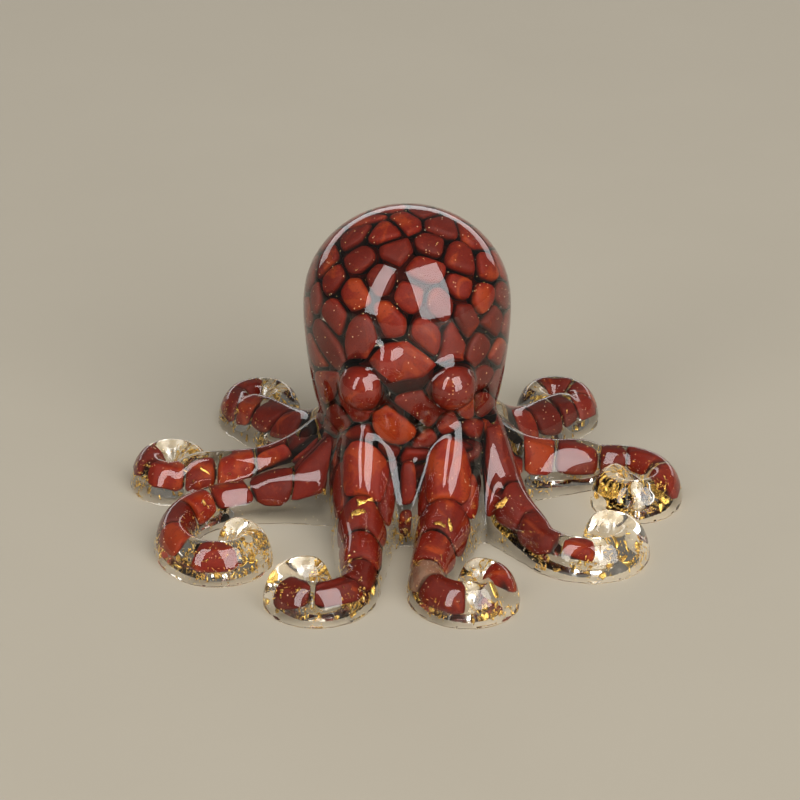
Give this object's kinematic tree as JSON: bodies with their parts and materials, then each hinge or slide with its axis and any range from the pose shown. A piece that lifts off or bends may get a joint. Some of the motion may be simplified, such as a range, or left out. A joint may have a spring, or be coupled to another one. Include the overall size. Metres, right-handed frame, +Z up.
{
  "type": "octopus figurine",
  "caption": "Clear cast resin octopus ornament with an egg-shaped head, round eyes and curled flat-footed arms, filled with red stone chips and gold foil",
  "frame": {"origin": "on the flat underside, at the middle of the arms, under the head", "axes": "+Z up, -Y the way the face looks, +X to the viewer's right when facing it"},
  "size_m": [0.0789, 0.0687, 0.0428],
  "materials": {
    "clear_resin": "clear cast resin, polished by the mould",
    "red_jasper": "tumbled red jasper",
    "gold_foil": "crumpled gold-coloured leaf"
  },
  "bodies": {
    "root": {"arm_back_left_chips": "red_jasper", "arm_back_left_foil": "gold_foil", "arm_back_right_chips": "red_jasper", "arm_back_right_foil": "gold_foil", "arm_front_left_chips": "red_jasper", "arm_front_left_foil": "gold_foil", "arm_front_mid_left_chips": "red_jasper", "arm_front_mid_left_foil": "gold_foil", "arm_front_mid_right_chips": "red_jasper", "arm_front_mid_right_foil": "gold_foil", "arm_front_right_chips": "red_jasper", "arm_front_right_foil": "gold_foil", "arm_left_chips": "red_jasper", "arm_left_foil": "gold_foil", "arm_right_chips": "red_jasper", "arm_right_foil": "gold_foil", "core_chips": "red_jasper", "crown_chips": "red_jasper", "face_chips": "red_jasper", "left_eye_stone": "red_jasper", "mantle_back_chips": "red_jasper", "mantle_front_chips": "red_jasper", "mantle_left_chips": "red_jasper", "mantle_right_chips": "red_jasper", "resin_casting": "clear_resin", "right_eye_stone": "red_jasper", "web_chips": "red_jasper"}
  },
  "joints": []
}
